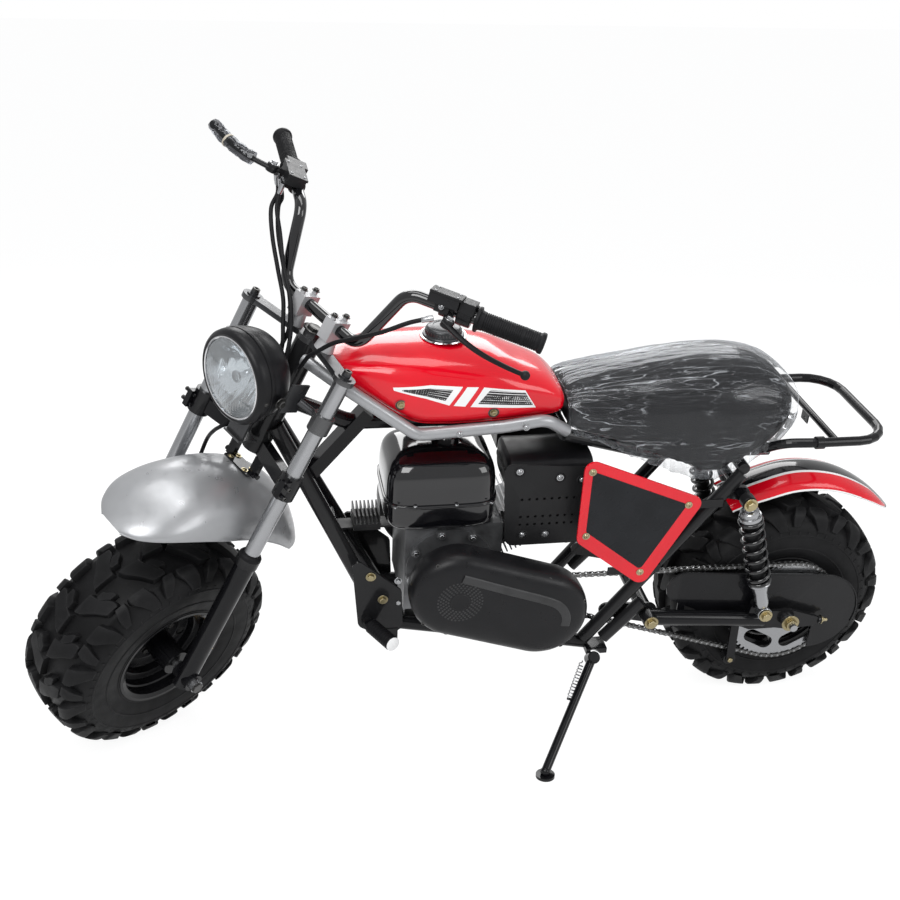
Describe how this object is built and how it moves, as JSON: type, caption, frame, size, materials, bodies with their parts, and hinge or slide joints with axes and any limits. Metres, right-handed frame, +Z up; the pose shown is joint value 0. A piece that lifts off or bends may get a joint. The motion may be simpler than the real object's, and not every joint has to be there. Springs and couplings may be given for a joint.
{
  "type": "minibike",
  "caption": "Fat-tyre minibike with a silver front fender, red tank and rear fender and long black seat, parked on its side stand.",
  "frame": {"origin": "the middle of the outline on the ground the machine is parked on", "axes": "+X towards the front of the machine, +Y to its left, +Z up from the ground; the machine leans to its left on its side stand"},
  "size_m": [1.8091, 0.57, 1.231],
  "materials": {
    "black_frame": "gloss",
    "silver_paint": "satin",
    "red_paint": "gloss",
    "black_engine": "semi-gloss",
    "plate_face": "satin",
    "cast_alloy": "as cast",
    "soot_black": "matt",
    "bright_steel": "brushed",
    "dark_steel": "satin",
    "seat_vinyl": "smooth vinyl under a thin clear cover",
    "tyre_rubber": "matt",
    "rim_black": "semi-gloss",
    "grip_rubber": "matt",
    "lens_glass": "clear, ribbed"
  },
  "bodies": {
    "frame": {"head_tube": "black_frame", "down_tubes": "black_frame", "backbone": "black_frame", "side_rails": "silver_paint", "rear_frame": "black_frame", "engine_cradle": "black_frame", "foot_pegs": "black_frame", "rectifier": "cast_alloy", "fuel_tank": "red_paint", "tank_cap": "bright_steel", "seat": "seat_vinyl", "rack": "black_frame", "rear_fender": "red_paint", "number_plate": "plate_face", "engine": "cast_alloy", "engine_tank": "black_engine", "recoil_starter": "black_engine", "air_cleaner": "black_engine", "muffler": "soot_black", "muffler_guard": "black_engine", "drive_cover": "black_engine", "drive_chain": "dark_steel", "swingarm": "black_frame", "chain_guard": "black_frame", "rear_axle": "bright_steel", "shocks": "dark_steel", "shock_springs": "dark_steel", "rear_caliper": "dark_steel"},
    "steering": {"top_clamp": "silver_paint", "lower_clamp": "black_frame", "fork_tubes": "bright_steel", "fork_legs": "black_frame", "front_axle": "bright_steel", "front_caliper": "dark_steel", "handlebar": "black_frame", "bar_clamps": "bright_steel", "grips": "grip_rubber", "levers": "dark_steel", "headlight_shell": "black_engine", "headlight_lens": "lens_glass", "lamp_bracket": "dark_steel", "front_fender": "silver_paint", "fender_struts": "black_frame", "control_cables": "grip_rubber"},
    "front_wheel": {"front_tyre": "tyre_rubber", "front_rim": "rim_black", "front_disc": "bright_steel"},
    "rear_wheel": {"rear_tyre": "tyre_rubber", "rear_rim": "rim_black", "rear_sprocket": "bright_steel", "rear_disc": "bright_steel"},
    "side_stand": {"side_stand": "black_frame"}
  },
  "joints": [
    {"name": "steering", "type": "hinge", "parent": "frame", "child": "steering", "pos_m": [0.38607, 0.01239, 0.76476], "axis": [-0.4374, 0.1438, 0.8877], "range_deg": [-76, 0]},
    {"name": "front_wheel", "type": "hinge", "parent": "steering", "child": "front_wheel", "pos_m": [0.67332, -0.05067, 0.24061], "axis": [-0.5536, 0.7348, -0.3918], "continuous": true},
    {"name": "rear_wheel", "type": "hinge", "parent": "frame", "child": "rear_wheel", "pos_m": [-0.658, -0.07231, 0.24176], "axis": [0, 0.9871, -0.1599], "continuous": true},
    {"name": "side_stand", "type": "hinge", "parent": "frame", "child": "side_stand", "pos_m": [-0.22877, 0.06527, 0.16557], "axis": [-0.007, 0.8266, 0.5628], "range_deg": [0, 122]}
  ]
}
